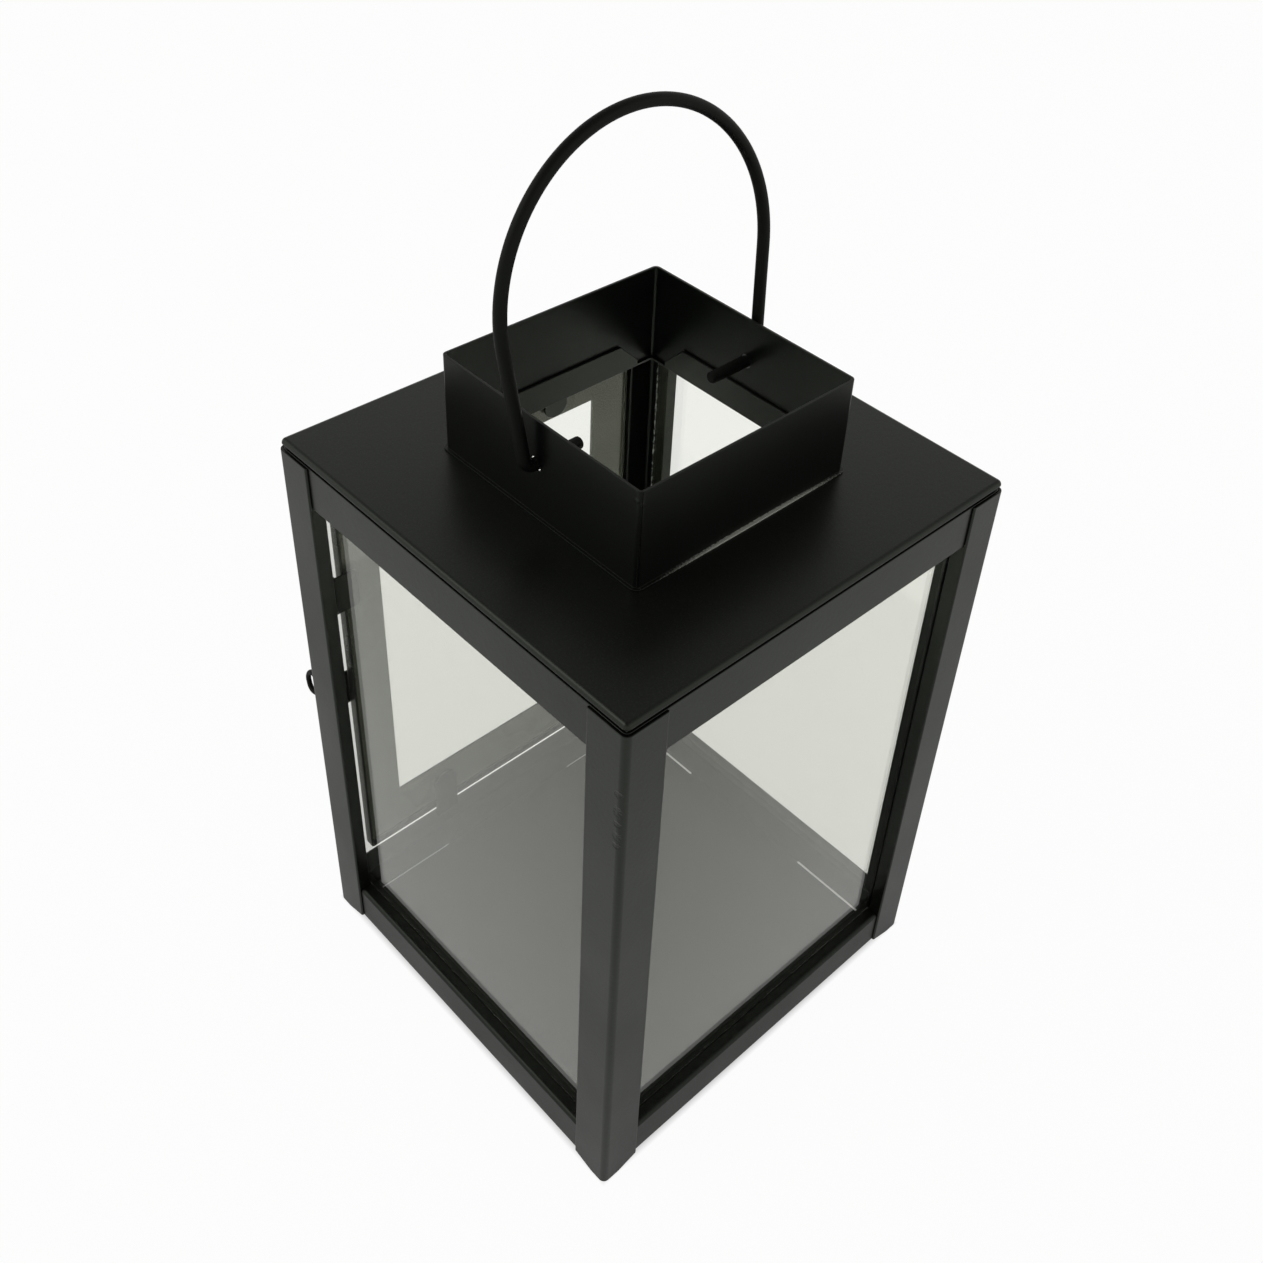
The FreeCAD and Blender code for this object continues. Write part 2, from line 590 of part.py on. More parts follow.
def door_glass():
    """Pane that fills the door's tray and lies against the inside of its face."""
    margin = "door_bend + glass_play"
    return block("door_glass",
                 (f"-{DOOR_OUT} + sheet", f"-{LATCH_EDGE} + {margin}", f"{DOOR_LOW} + {margin}"),
                 (f"-{DOOR_OUT} + sheet + glass", f"{HINGE_EDGE} - ({margin})", f"{DOOR_HIGH} - ({margin})"))


def upper_stop():
    """Tongue that hangs from the inside of the skirt, stepped in behind the door's head."""
    body = new_body("top_door_stop")
    skirt_in = f"({SKIRT_OUT} - sheet)"
    step = f"({SKIRT_LOW} + sheet)"
    profile = sketch_on(body, "XZ_Plane", "-upper_stop_at - stop_width / 2")
    foot_top = f"{SKIRT_LOW} + stop_foot"
    end = f"{SKIRT_LOW} - upper_stop_reach"
    polygon(profile, [(f"-{skirt_in}", SKIRT_LOW), (f"-{STOP_OUT}", SKIRT_LOW), (f"-{STOP_OUT}", end),
                      (f"-{STOP_IN}", end), (f"-{STOP_IN}", step), (f"-{skirt_in} + sheet", step),
                      (f"-{skirt_in} + sheet", foot_top), (f"-{skirt_in}", foot_top)])
    solid = pad(body, profile, "stop_width")
    lowest = value(end)
    fillet(body, solid, "stop_round",
           lambda middle, run: along(run, X_AXIS) and abs(middle.z - lowest) < NEAR)
    return body


def lower_stop():
    """Tongue that stands on the ledge behind the door's sill."""
    body = new_body("bottom_door_stop")
    outline = sketch_on(body, "YZ_Plane", f"-{STOP_OUT}")
    end = f"({LEDGE} + lower_stop_reach)"
    rectangle(outline, "lower_stop_at - stop_width / 2", "lower_stop_at + stop_width / 2", LEDGE, end)
    solid = pad(body, outline, "sheet")
    top = value(end)
    fillet(body, solid, "stop_round",
           lambda middle, run: along(run, X_AXIS) and abs(middle.z - top) < NEAR)
    return body


def side_stop():
    """Tongue from the inside of the latch post's plain flange, stepped in behind the door's stile."""
    body = new_body("side_door_stop")
    step = f"({FLANGE_EDGE} + sheet)"
    profile = sketch_on(body, "XY_Plane", "side_stop_at - side_stop_tall / 2")
    lap = f"(-{LATCH_EDGE} + side_stop_lap)"
    foot_start = f"(-{POST_OUT} + post_fold)"
    polygon(profile, [(f"-{SKIRT_OUT}", foot_start), (f"-{SKIRT_OUT} + sheet", foot_start),
                      (f"-{SKIRT_OUT} + sheet", f"-{step}"), (f"-{STOP_IN}", f"-{step}"),
                      (f"-{STOP_IN}", lap), (f"-{STOP_OUT}", lap),
                      (f"-{STOP_OUT}", f"-{FLANGE_EDGE}"), (f"-{SKIRT_OUT}", f"-{FLANGE_EDGE}")])
    solid = pad(body, profile, "side_stop_tall")
    end = value(lap)
    fillet(body, solid, "stop_round / 2",
           lambda middle, run: along(run, X_AXIS) and abs(middle.y - end) < NEAR)
    return body


def hasp_strap():
    """Strap on the door's stile that reaches over the latch post, slotted for the eye."""
    body = new_body("hasp_strap")
    outline = sketch_on(body, "YZ_Plane", f"-{STRAP_OUT}")
    low, high = "latch_height - strap_height / 2", "latch_height + strap_height / 2"
    rectangle(outline, f"-{LATCH_Y} - strap_end", f"-{LATCH_EDGE} + strap_lap", low, high)
    middle_line = f"-{LATCH_Y} - slot_shift"
    rectangle(outline, f"{middle_line} - slot_width / 2", f"{middle_line} + slot_width / 2",
              "latch_height - slot_length / 2", "latch_height + slot_length / 2")
    solid = pad(body, outline, "sheet")
    lowest, highest = value(low), value(high)
    fillet(body, solid, "strap_round",
           lambda middle, run: along(run, X_AXIS) and (middle.z < lowest + NEAR or middle.z > highest - NEAR))
    return body


def rod(name, radius, start, end, place, turn):
    """Make a round bar between two sums of sizes along an axis through a place."""
    piece = DOC.addObject("Part::Cylinder", name)
    piece.Label = name
    bind(piece, "Radius", radius)
    bind(piece, "Height", f"{end} - ({start})")
    piece.Placement = FreeCAD.Placement(FreeCAD.Vector(*(value(text) for text in place)), turn)
    return piece


def latch_eye():
    """Eye on a round shank through the post, riveted inside. It is drawn from the middle of its ring."""
    body = new_body("latch_eye")
    section = sketch_on(body, "XY_Plane")
    wire_section(section, "eye_ring", "eye_wire")
    ring = body.newObject("PartDesign::Revolution", "ring")
    ring.Profile = section
    ring.ReferenceAxis = (section, ["V_Axis"])
    ring.Angle = 360
    DOC.recompute()
    rivet_start = f"({RING_MIDDLE} - {WASHER_IN} + seat_gap)"
    shank = sketch_on(body, "YZ_Plane", "eye_ring")
    circle(shank, "0", "0", "eye_shank")
    pad(body, shank, f"{rivet_start} - eye_ring")
    rivet = sketch_on(body, "YZ_Plane", rivet_start)
    circle(rivet, "0", "0", "eye_head")
    pad(body, rivet, "sheet")
    body.Placement.Base = FreeCAD.Vector(-value(RING_MIDDLE), -value(LATCH_Y), value("latch_height"))
    return body


def eye_washer():
    """Washer round the eye's shank, inside the post."""
    to_x = FreeCAD.Rotation(Y_AXIS, 90)
    place = (f"-{WASHER_OUT}", f"-{LATCH_Y}", "latch_height")
    washer = DOC.addObject("Part::Cut", "eye_washer")
    washer.Label = "eye_washer"
    washer.Base = rod("washer_disc", "washer", "0", "sheet", place, to_x)
    washer.Tool = rod("washer_bore", "eye_shank + pin_clear", "0", "sheet", place, to_x)
    return washer


def hinge_leaf(name, middle, side, face, knuckles):
    """One leaf: a plate on a face, with knuckles round the pin. Side is 1 at the post, -1 at the door."""
    body = new_body(name)
    low = f"({middle} - leaf_height / 2)"
    root = f"({HINGE_Y} + {side} * (barrel + knuckle_gap))"
    plate = sketch_on(body, "YZ_Plane", f"-{face} - sheet")
    first, last = (root, f"{root} + leaf_width") if side > 0 else (f"{root} - leaf_width", root)
    rectangle(plate, first, last, low, f"{low} + leaf_height")
    pad(body, plate, "sheet")
    for start, length in knuckles:
        strip = sketch_on(body, "YZ_Plane", f"-{face} - sheet")
        first, last = (HINGE_Y, root) if side > 0 else (root, HINGE_Y)
        rectangle(strip, first, last, f"{low} + {start}", f"{low} + {start} + {length}")
        pad(body, strip, "sheet")
        tube = sketch_on(body, "XY_Plane", f"{low} + {start}")
        circle(tube, f"-{HINGE_X}", HINGE_Y, "barrel")
        pad(body, tube, length)
    bore = sketch_on(body, "XY_Plane", low)
    circle(bore, f"-{HINGE_X}", HINGE_Y, "pin + pin_clear")
    cut(body, bore, "leaf_height", reverse=True)
    return body


def hinges():
    """Two barrel hinges: a leaf on the post, a leaf on the door and a headed pin each."""
    outer = "(leaf_height / 2 - knuckle / 2 - knuckle_gap)"
    ends = (("0", outer), (f"leaf_height - {outer}", outer))
    middle_knuckle = ((f"{outer} + knuckle_gap", "knuckle"),)
    post_leaves, door_leaves, pins = [], [], []
    middles = {"lower": f"({DOOR_LOW} + hinge_inset)", "upper": f"({DOOR_HIGH} - hinge_inset)"}
    for place, middle in middles.items():
        post_leaves.append(hinge_leaf(f"{place}_post_leaf", middle, 1, POST_OUT, ends))
        door_leaves.append(hinge_leaf(f"{place}_door_leaf", middle, -1, DOOR_OUT, middle_knuckle))
        low, high = f"{middle} - leaf_height / 2", f"{middle} + leaf_height / 2"
        shaft = rod(f"{place}_shaft", "pin", low, high, (f"-{HINGE_X}", HINGE_Y, low), FreeCAD.Rotation())
        head = rod(f"{place}_head", "pin_head", high, f"{high} + pin_cap",
                   (f"-{HINGE_X}", HINGE_Y, high), FreeCAD.Rotation())
        whole = DOC.addObject("Part::Fuse", f"{place}_pin")
        whole.Base = shaft
        whole.Tool = head
        pins.append(whole)
    return [group("post_hinge_leaves", post_leaves), group("door_hinge_leaves", door_leaves),
            group("hinge_pins", pins)]


def check(pieces):
    """Stop if any object failed or any piece has no sound solid."""
    for thing in DOC.Objects:
        if "Invalid" in thing.State or "Error" in thing.State:
            raise ValueError(f"{thing.Label} failed: {thing.State}")
    for piece in pieces:
        if piece.Shape.isNull() or not piece.Shape.isValid() or not piece.Shape.Solids:
            raise ValueError(f"{piece.Label} has no sound solid")


def write(pieces):
    """Write each piece to a file named by its label."""
    os.makedirs("parts", exist_ok=True)
    for piece in pieces:
        piece.Shape.exportStep(f"parts/{piece.Label}.step")
        print(f"{piece.Label}: {len(piece.Shape.Solids)} solid(s), {piece.Shape.Volume / 1000:.2f} cm3")


PIECES = [base_tray(), floor_plate(), top_rail(), cap_lid(), chimney_collar(), bail_handle(),
          door_frame(), door_glass(), upper_stop(), lower_stop(), side_stop(), hasp_strap(),
          far_bead("far_bead_latch_side", 0), far_bead("far_bead_hinge_side", 90)]
PIECES += [latch_eye(), eye_washer()] + posts() + panes() + hinges()
DOC.recompute()
check(PIECES)
write(PIECES)
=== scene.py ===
# %% [markdown]
# # A candle lantern in black painted steel and clear glass
#
# The lantern is a square box of folded sheet steel with glass on all four sides. A square chimney stands on
# its lid, a wire bail swings in two holes of the chimney, and one wall is a small door with a latch.
# The solids come from the imported CAD model, which is the fixed frame of this scene. Blender adds what the
# solids lack: soft sheet edges, truly round wires, paint with its marks of use and some painted shade and
# highlights, dust and glass.

# %% Load the imported lantern
import math

import bmesh
import bpy
from mathutils import Matrix, Vector


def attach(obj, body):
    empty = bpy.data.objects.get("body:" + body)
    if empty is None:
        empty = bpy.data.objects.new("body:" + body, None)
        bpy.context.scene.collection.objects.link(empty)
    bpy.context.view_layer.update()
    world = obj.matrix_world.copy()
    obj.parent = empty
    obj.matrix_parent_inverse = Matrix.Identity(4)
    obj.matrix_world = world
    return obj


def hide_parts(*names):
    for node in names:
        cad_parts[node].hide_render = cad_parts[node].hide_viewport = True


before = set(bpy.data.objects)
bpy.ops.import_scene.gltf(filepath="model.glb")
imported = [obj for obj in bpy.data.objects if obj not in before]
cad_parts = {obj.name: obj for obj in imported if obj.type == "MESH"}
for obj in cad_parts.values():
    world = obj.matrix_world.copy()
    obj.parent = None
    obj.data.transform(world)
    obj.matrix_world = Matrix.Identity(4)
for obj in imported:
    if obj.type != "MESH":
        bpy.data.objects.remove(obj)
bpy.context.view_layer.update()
MM = 0.001

# %% [markdown]
# ## The camera
#
# The photograph was taken from above one corner, with the camera turned a little on its side. Place, turn and
# focal length were solved from the straight edges of the box, so that the model lies close to the picture.
# The lens shift stands for a picture whose middle isn't the middle of the lens.

# %% Camera at the photograph's viewing angle
CAMERA_PLACE = (0.22380, -0.22050, 0.43319)
CAMERA_TURN = (51.9477, -3.8313, 45.5108)
SENSOR = 36
LENS = 40.794
SHIFT_X, SHIFT_Y = -0.0542, -0.1041
camera = bpy.data.objects.new("camera", bpy.data.cameras.new("camera"))
bpy.context.scene.collection.objects.link(camera)
camera.location = CAMERA_PLACE
camera.rotation_euler = [math.radians(angle) for angle in CAMERA_TURN]
camera.data.sensor_width = SENSOR
camera.data.lens = LENS
camera.data.shift_x = SHIFT_X
camera.data.shift_y = SHIFT_Y
bpy.context.scene.camera = camera
bpy.context.scene.view_settings.view_transform = "Standard"
print("camera at", CAMERA_PLACE, "lens", LENS, "mm")

# %% [markdown]
# ## Colours and nodes
#
# Colours are written as sRGB hex values, as a paint shop's chart gives them, and the renderer works in linear
# light, so one function turns one into the other. Another adds a shader node with its settings and links, so
# that a finish reads as a list of what it is made of.

# %% Helpers for colours, pattern sizes and nodes
def linear(code):
    """Turn an sRGB hex colour into linear light, with full alpha."""
    parts = [int(code[i:i + 2], 16) / 255 for i in (1, 3, 5)]
    return [p / 12.92 if p <= 0.04045 else ((p + 0.055) / 1.055) ** 2.4 for p in parts] + [1]


def per(size):
    """Give a texture's scale for features of this many millimetres."""
    return 1000 / size


def add(owner, kind, inputs=(), **settings):
    """Add a shader node: settings are its properties, inputs its values or the outputs that feed it."""
    made = owner.node_tree.nodes.new("ShaderNode" + kind)
    for name, value in settings.items():
        setattr(made, name, value)
    for name, value in dict(inputs).items():
        if isinstance(value, bpy.types.NodeSocket):
            owner.node_tree.links.new(value, made.inputs[name])
        else:
            made.inputs[name].default_value = value
    return made


def new_material(name):
    """Start a material with an empty node tree."""
    material = bpy.data.materials.new(name)
    material.use_nodes = True
    material.node_tree.nodes.clear()
    return material


print("a mid grey in linear light:", [round(value, 3) for value in linear("#808080")])

# %% [markdown]
# ## The floor
#
# In a studio the lantern stands on a wide sheet of paper that reaches past the picture, and one large flat
# face is enough for that. It lies a hair under the feet, so that it doesn't share a plane with them.

# %% Flat sheet under the feet
FLOOR_SIDE = 12.0
FLOOR_DROP = 0.2
floor_mesh = bpy.data.meshes.new("floor")
shape = bmesh.new()
bmesh.ops.create_grid(shape, x_segments=1, y_segments=1, size=FLOOR_SIDE / 2)
bmesh.ops.translate(shape, verts=shape.verts, vec=(0, 0, -FLOOR_DROP * MM))
shape.to_mesh(floor_mesh)
shape.free()
floor = bpy.data.objects.new("floor", floor_mesh)
bpy.context.scene.collection.objects.link(floor)
print("floor:", FLOOR_SIDE, "m wide,", FLOOR_DROP, "mm under the feet")

# %% [markdown]
# ## White paper
#
# Lit paper comes out grey in a picture. More light would whiten it, but would bleach the lantern too. So this
# paper shows itself as plain white to the camera and through glass, and keeps a small share of real light and
# shade, which leaves the lantern its shadow. Under the lantern, where little light gets, the plain white
# fades out. Gloss sees mostly the lit paper, or else the black paint would turn pale.

# %% Paper that shows as plain white
FLOOR_SHOWN = 0.96
FLOOR_MIRRORED = 0.3
FLOOR_UNDER = 0.1
SHADE_INSIDE, SHADE_OUTSIDE = 67, 71
paper = new_material("white_studio_paper")
rays = add(paper, "LightPath").outputs
straight = add(paper, "Math", {
    0: rays["Is Camera Ray"], 1: rays["Is Transmission Ray"]}, operation="MAXIMUM")
across = add(paper, "SeparateXYZ", {0: add(paper, "TexCoord").outputs["Object"]})
along_x = add(paper, "Math", {0: across.outputs["X"]}, operation="ABSOLUTE")
along_y = add(paper, "Math", {0: across.outputs["Y"]}, operation="ABSOLUTE")
outward = add(paper, "Math", {0: along_x.outputs[0], 1: along_y.outputs[0]}, operation="MAXIMUM")
shown = add(paper, "MapRange", {
    0: outward.outputs[0], 1: SHADE_INSIDE * MM, 2: SHADE_OUTSIDE * MM, 3: FLOOR_UNDER, 4: FLOOR_SHOWN})
seen = add(paper, "Math", {0: straight.outputs[0], 1: shown.outputs[0]}, operation="MULTIPLY")
mirrored = add(paper, "Math", {0: rays["Is Glossy Ray"], 1: FLOOR_MIRRORED}, operation="MULTIPLY")
share = add(paper, "Math", {0: seen.outputs[0], 1: mirrored.outputs[0]}, operation="MAXIMUM")
lit = add(paper, "BsdfDiffuse", {"Color": linear("#f4f5f3")})
plain = add(paper, "Emission", {"Color": linear("#ffffff"), "Strength": 1.0})
both = add(paper, "MixShader", {0: share.outputs[0], 1: lit.outputs[0], 2: plain.outputs[0]})
add(paper, "OutputMaterial", {"Surface": both.outputs[0]})
floor_mesh.materials.append(paper)
print("paper:", FLOOR_SHOWN, "plain white,", FLOOR_UNDER, "under the lantern")

# %% [markdown]
# ## The surround
#
# Black paint is seen by what it mirrors. An even grey world would give the lid and the walls one tone, but
# the lid of the real lantern mirrors something much darker than its walls do. So the surround is pale at the
# horizon and dim overhead, as in a room with a pale table.

# %% Room that is pale at the horizon and dim overhead
ROOM_TONES = (
    (0.0, "#ffffff"), (0.16, "#f4f4f2"), (0.42, "#dcdcda"), (0.70, "#aaaaaa"), (1.0, "#6c6c6c"))
world = bpy.data.worlds.new("room")
bpy.context.scene.world = world
world.use_nodes = True
world.node_tree.nodes.clear()
height = add(world, "SeparateXYZ", {0: add(world, "TexCoord").outputs["Generated"]})
fade = add(world, "ValToRGB", {0: height.outputs["Z"]})
while len(fade.color_ramp.elements) < len(ROOM_TONES):
    fade.color_ramp.elements.new(1.0)
for element, (place, code) in zip(fade.color_ramp.elements, ROOM_TONES):
    element.position = place
    element.color = linear(code)
room = add(world, "Background", {"Color": fade.outputs["Color"], "Strength": 1.0})
add(world, "OutputWorld", {"Surface": room.outputs[0]})
print("room tones:", len(ROOM_TONES))

# %% [markdown]
# ## The lamps
#
# Two wide lamps give soft shade without hard edges: a key lamp over the near left side and a weak fill on the
# right. A sun lamp would be simpler, but its sharp shadows don't belong in a studio picture.

# %% Soft lamps
LAMP_AIM = Vector((0, 0, 0.12))
LAMPS = (
    ("key_lamp", (-0.75, -1.25, 1.35), 0.9, 5.5),
    ("fill_lamp", (1.35, 0.35, 1.1), 1.0, 1.0),
)
for name, place, side, power in LAMPS:
    lamp = bpy.data.objects.new(name, bpy.data.lights.new(name, "AREA"))
    bpy.context.scene.collection.objects.link(lamp)
    lamp.location = place
    lamp.rotation_euler = (LAMP_AIM - Vector(place)).to_track_quat("-Z", "Y").to_euler()
    lamp.data.size = side
    lamp.data.energy = power
    lamp.visible_camera = False
    print(name, power, "W,", side, "m wide")

# %% [markdown]
# ## Marks and dust in a coat of paint, with painted shade and highlights
#
# Work and use leave single marks in paint, such as dents and weld dots. A mark's tone can also be painted
# shade or a painted highlight, or just a paler face. An image could hold them, but it would need a file and a
# flat layout of each piece. Here a mark is an egg-shaped spot with a ragged edge, set on its piece in
# millimetres, which changes the coat's tone and may raise or sink it. Dust falls, so its specks lie only on
# what faces up.

# %% Marks and dust for a coat
RAGGED = 0.9
SPOT_FULL, SPOT_GONE = 0.9, 1.4
LEVEL_FROM = 0.75
SPECK_FROM, SPECK_FULL = 0.5, 0.72
DUST_SHARE = 0.10
DUST = "#5d5b55"


def lay_marks(coat, marks, place, grit, shade, height):
    """Blend each mark's tone into the shade and its rise into the height, and return both."""
    for centre, half, tone, rise in marks:
        near = add(coat, "Mapping", {"Vector": place, "Location": [value * MM for value in centre],
                                     "Scale": [value * MM for value in half]}, vector_type="TEXTURE")
        away = add(coat, "VectorMath", {0: near.outputs[0]}, operation="LENGTH").outputs["Value"]
        edge = add(coat, "Math", {0: grit, 1: RAGGED, 2: away}, operation="MULTIPLY_ADD").outputs[0]
        spot = add(coat, "MapRange", {0: edge, 1: SPOT_FULL, 2: SPOT_GONE, 3: 1.0, 4: 0.0}).outputs[0]
        shade = add(coat, "Mix", {0: spot, 6: shade, 7: linear(tone)}, data_type="RGBA").outputs[2]
        height = add(coat, "Math", {0: spot, 1: rise, 2: height}, operation="MULTIPLY_ADD").outputs[0]
    return shade, height


def lay_dust(coat, grit, shade):
    """Blend pale specks into the shade where the surface faces up, and return it."""
    facing = add(coat, "SeparateXYZ", {0: add(coat, "NewGeometry").outputs["Normal"]})
    upward = add(coat, "MapRange", {0: facing.outputs["Z"], 1: LEVEL_FROM, 2: 1.0, 3: 0.0, 4: DUST_SHARE})
    specks = add(coat, "MapRange", {0: grit, 1: SPECK_FROM, 2: SPECK_FULL, 3: 0.0, 4: 1.0})
    dust = add(coat, "Math", {0: upward.outputs[0], 1: specks.outputs[0]}, operation="MULTIPLY")
    return add(coat, "Mix", {0: dust.outputs[0], 6: shade, 7: linear(DUST)}, data_type="RGBA").outputs[2]


print("dust gives up to", DUST_SHARE, "of the tone on a level face")

# %% [markdown]
# ## Powder coat on the sheet steel
#
# The sheets are mild steel, folded and welded, then dusted with a dry black paint that melts in an oven. That
# coat is satin: its gloss is blurred, and it has the faint hills of an orange's skin about 1.5 mm across. A
# flat colour with one roughness would look like plastic, so noise at three sizes moves colour, roughness and
# height. Real grit is finer than a pixel, so it is drawn at half a millimetre, coarse enough to show.

# %% Satin black powder coat
CLOUD_SIZE, PEEL_SIZE, GRIT_SIZE = 38, 1.5, 0.5
CLOUD_LOW, CLOUD_HIGH = 0.3, 0.7
GLOSSIER, DULLER = 0.04, 0.05
GRIT_SHARE = 0.25
COAT_HEIGHT = 0.04


def powder_coat(name, dark, light, roughness, peel, ior, marks=()):
    """Make a satin powder coat: cloudy black, orange peel, fine grit, single marks and dust on top."""
    coat = new_material(name)
    place = add(coat, "TexCoord").outputs["Object"]
    cloud = add(coat, "TexNoise", {
        "Vector": place, "Scale": per(CLOUD_SIZE), "Detail": 3.0, "Roughness": 0.55}).outputs["Fac"]
    hills = add(coat, "TexNoise", {
        "Vector": place, "Scale": per(PEEL_SIZE), "Detail": 1.0, "Roughness": 0.4}).outputs["Fac"]
    grit = add(coat, "TexNoise", {
        "Vector": place, "Scale": per(GRIT_SIZE), "Detail": 2.0, "Roughness": 0.6}).outputs["Fac"]
    shade = add(coat, "Mix", {0: cloud, 6: linear(dark), 7: linear(light)}, data_type="RGBA").outputs[2]
    height = add(coat, "Math", {0: grit, 1: GRIT_SHARE, 2: hills}, operation="MULTIPLY_ADD").outputs[0]
    shade, height = lay_marks(coat, marks, place, grit, shade, height)
    shade = lay_dust(coat, grit, shade)
    rough = add(coat, "MapRange", {
        0: cloud, 1: CLOUD_LOW, 2: CLOUD_HIGH, 3: roughness - GLOSSIER, 4: roughness + DULLER})
    skin = add(coat, "Bump", {"Height": height, "Strength": peel, "Distance": COAT_HEIGHT * MM})
    paint = add(coat, "BsdfPrincipled", {
        "Base Color": shade, "Roughness": rough.outputs[0], "IOR": ior,
        "Specular Tint": linear("#f4ffec"), "Normal": skin.outputs[0]})
    add(coat, "OutputMaterial", {"Surface": paint.outputs[0]})
    return coat


sheet_paint = powder_coat("satin_black_powder_coat_on_sheet_steel", "#050605", "#090a08", 0.32, 0.5, 1.42)
# The thinner coats on small fittings and on wire are duller and mirror less
fitting_paint = powder_coat("satin_black_powder_coat_on_fittings", "#070806", "#0d0e0b", 0.40, 0.4, 1.40)
wire_paint = powder_coat("satin_black_enamel_on_wire", "#060606", "#0b0b0a", 0.50, 0.3, 1.24)
print("nodes in the plain coat:", len(sheet_paint.node_tree.nodes))

# %% [markdown]
# ## Marks of use, painted shade and highlights
#
# A lantern that has been carried and lit isn't even. The post nearest to the camera has a row of small dents
# along its fold, sunk a little and painted darker as shade. The chimney's coat is a darker copy of the black
# coat, which is painted shade, and a little duller. A painted highlight runs along the hem at its foot, and two
# weld dots on its near corner are raised and painted lighter as highlights. The inside face of the door is
# paler, and the base frame is rubbed dull. One more layer of noise would spread such marks all over, so these
# pieces get coats of their own, with marks at their real places.

# %% Coats with marks
DENT_ROWS = ((178.0, 1.3), (171.9, 2.2), (167.6, 1.2), (163.2, 1.9), (159.8, 1.1))
# Each dent is sunk a little, and its darker tone is painted shade
SHADED_DENTS = [((68.7, -70.5, z), (1.4, 2.0, tall), "#030303", -9) for z, tall in DENT_ROWS]
CHIMNEY_WELDS_AND_HIGHLIGHTS = [
    # A painted highlight along the top of the hem at the chimney's foot
    ((39.0, 3.5, 201.4), (1.0, 37.0, 0.6), "#a2a29a", 0),
    # Two weld dots, raised, with their lighter tone painted as highlights
    ((37.0, -38.3, 228.2), (0.9, 0.9, 0.9), "#151614", 7),
    ((38.3, -37.4, 227.2), (0.9, 0.7, 0.7), "#121311", 5),
]
# The whole inside face of the door gets a paler grey tone
DOOR_PALE_INSIDE = [((-69.85, 0, 100), (0.3, 400, 400), "#8a8a80", 0)]
base_paint = powder_coat("worn_black_powder_coat_on_base_frame", "#050605", "#090a08", 0.36, 0.5, 1.37)
# The darker tone of the dents in this coat is painted shade
shaded_dent_paint = powder_coat(
    "satin_black_powder_coat_with_dents_in_painted_shade", "#050605", "#090a08", 0.32, 0.5, 1.42, SHADED_DENTS)
# The chimney's coat is a darker copy of the black coat, which is painted shade, and a little duller
chimney_paint = powder_coat(
    "darker_black_powder_coat_on_chimney_as_painted_shade", "#030403", "#060706", 0.34, 0.4, 1.35, CHIMNEY_WELDS_AND_HIGHLIGHTS)
door_paint = powder_coat(
    "black_powder_coat_paler_inside_the_door", "#060705", "#0b0c0a", 0.28, 0.4, 1.5, DOOR_PALE_INSIDE)
print("black coats:", [paint.name for paint in bpy.data.materials if "black" in paint.name])

# %% [markdown]
# ## Clear float glass
#
# Each pane is 2 mm float glass with plain cut edges. Glass shows itself by what it mirrors: both faces mirror
# the white table in front, which lays a pale veil over the dark inside. A shader that bends and mirrors light
# as glass does gives that veil by itself. Lamp light is let straight through, so the floor inside stays lit.

# %% Float glass
FILM_SIZE = 30
FILM_FROM, FILM_FULL = 0.35, 0.75
HAZE = 0.03
glass = new_material("clear_float_glass")
rays = add(glass, "LightPath").outputs
passing = add(glass, "Math", {0: rays["Is Shadow Ray"], 1: rays["Is Diffuse Ray"]}, operation="MAXIMUM")
place = add(glass, "TexCoord").outputs["Object"]
film = add(glass, "TexNoise", {"Vector": place, "Scale": per(FILM_SIZE), "Detail": 3.0, "Roughness": 0.6})
haze = add(glass, "MapRange", {0: film.outputs["Fac"], 1: FILM_FROM, 2: FILM_FULL, 3: 0.0, 4: HAZE})
pane = add(glass, "BsdfPrincipled", {
    "Base Color": linear("#f0f1eb"), "Roughness": haze.outputs[0], "IOR": 1.5, "Transmission Weight": 1.0,
    "Specular Tint": linear("#feffee")})
through = add(glass, "BsdfTransparent", {"Color": linear("#f0f2ee")})
clear = add(glass, "MixShader", {0: passing.outputs[0], 1: pane.outputs[0], 2: through.outputs[0]})
add(glass, "OutputMaterial", {"Surface": clear.outputs[0]})
print("glass:", glass.name)

# %% [markdown]
# ## A finish for each CAD piece
#
# Most pieces of the lantern are right as the CAD model has them, and only need their real finish. A table of
# finish, edge round in millimetres and pieces is easier to check than one line of code for each piece.

# %% Which piece gets which finish
FINISHES = (
    (base_paint, 0.20, ("base_tray",)),
    (sheet_paint, 0.20, (
        "floor_plate", "latch_post", "hinge_post", "far_post_hinge_side", "top_rail", "cap_lid",
        "far_bead_latch_side", "far_bead_hinge_side", "top_door_stop", "bottom_door_stop", "side_door_stop")),
    (shaded_dent_paint, 0.20, ("far_post_latch_side",)),
    (door_paint, 0.20, ("door_frame",)),
    (chimney_paint, 0.10, ("chimney_collar",)),
    (fitting_paint, 0.15, (
        "hasp_strap", "eye_washer", "post_hinge_leaves", "door_hinge_leaves", "hinge_pins")),
    (glass, 0.25, ("latch_side_pane", "hinge_side_pane", "far_pane", "door_glass")),
)
print("pieces in the table:", sum(len(names) for finish, edge, names in FINISHES))

# %% [markdown]
# ## Soft edges
#
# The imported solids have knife-sharp cut edges. Real sheet is sheared, deburred and coated, so each edge has a
# small round that catches a thin line of light. A Bevel modifier gives that without touching the mesh. The
# packed triangles are loose, so a Weld comes first, flat triangles are joined, and weighted normals keep the
# flat faces flat.

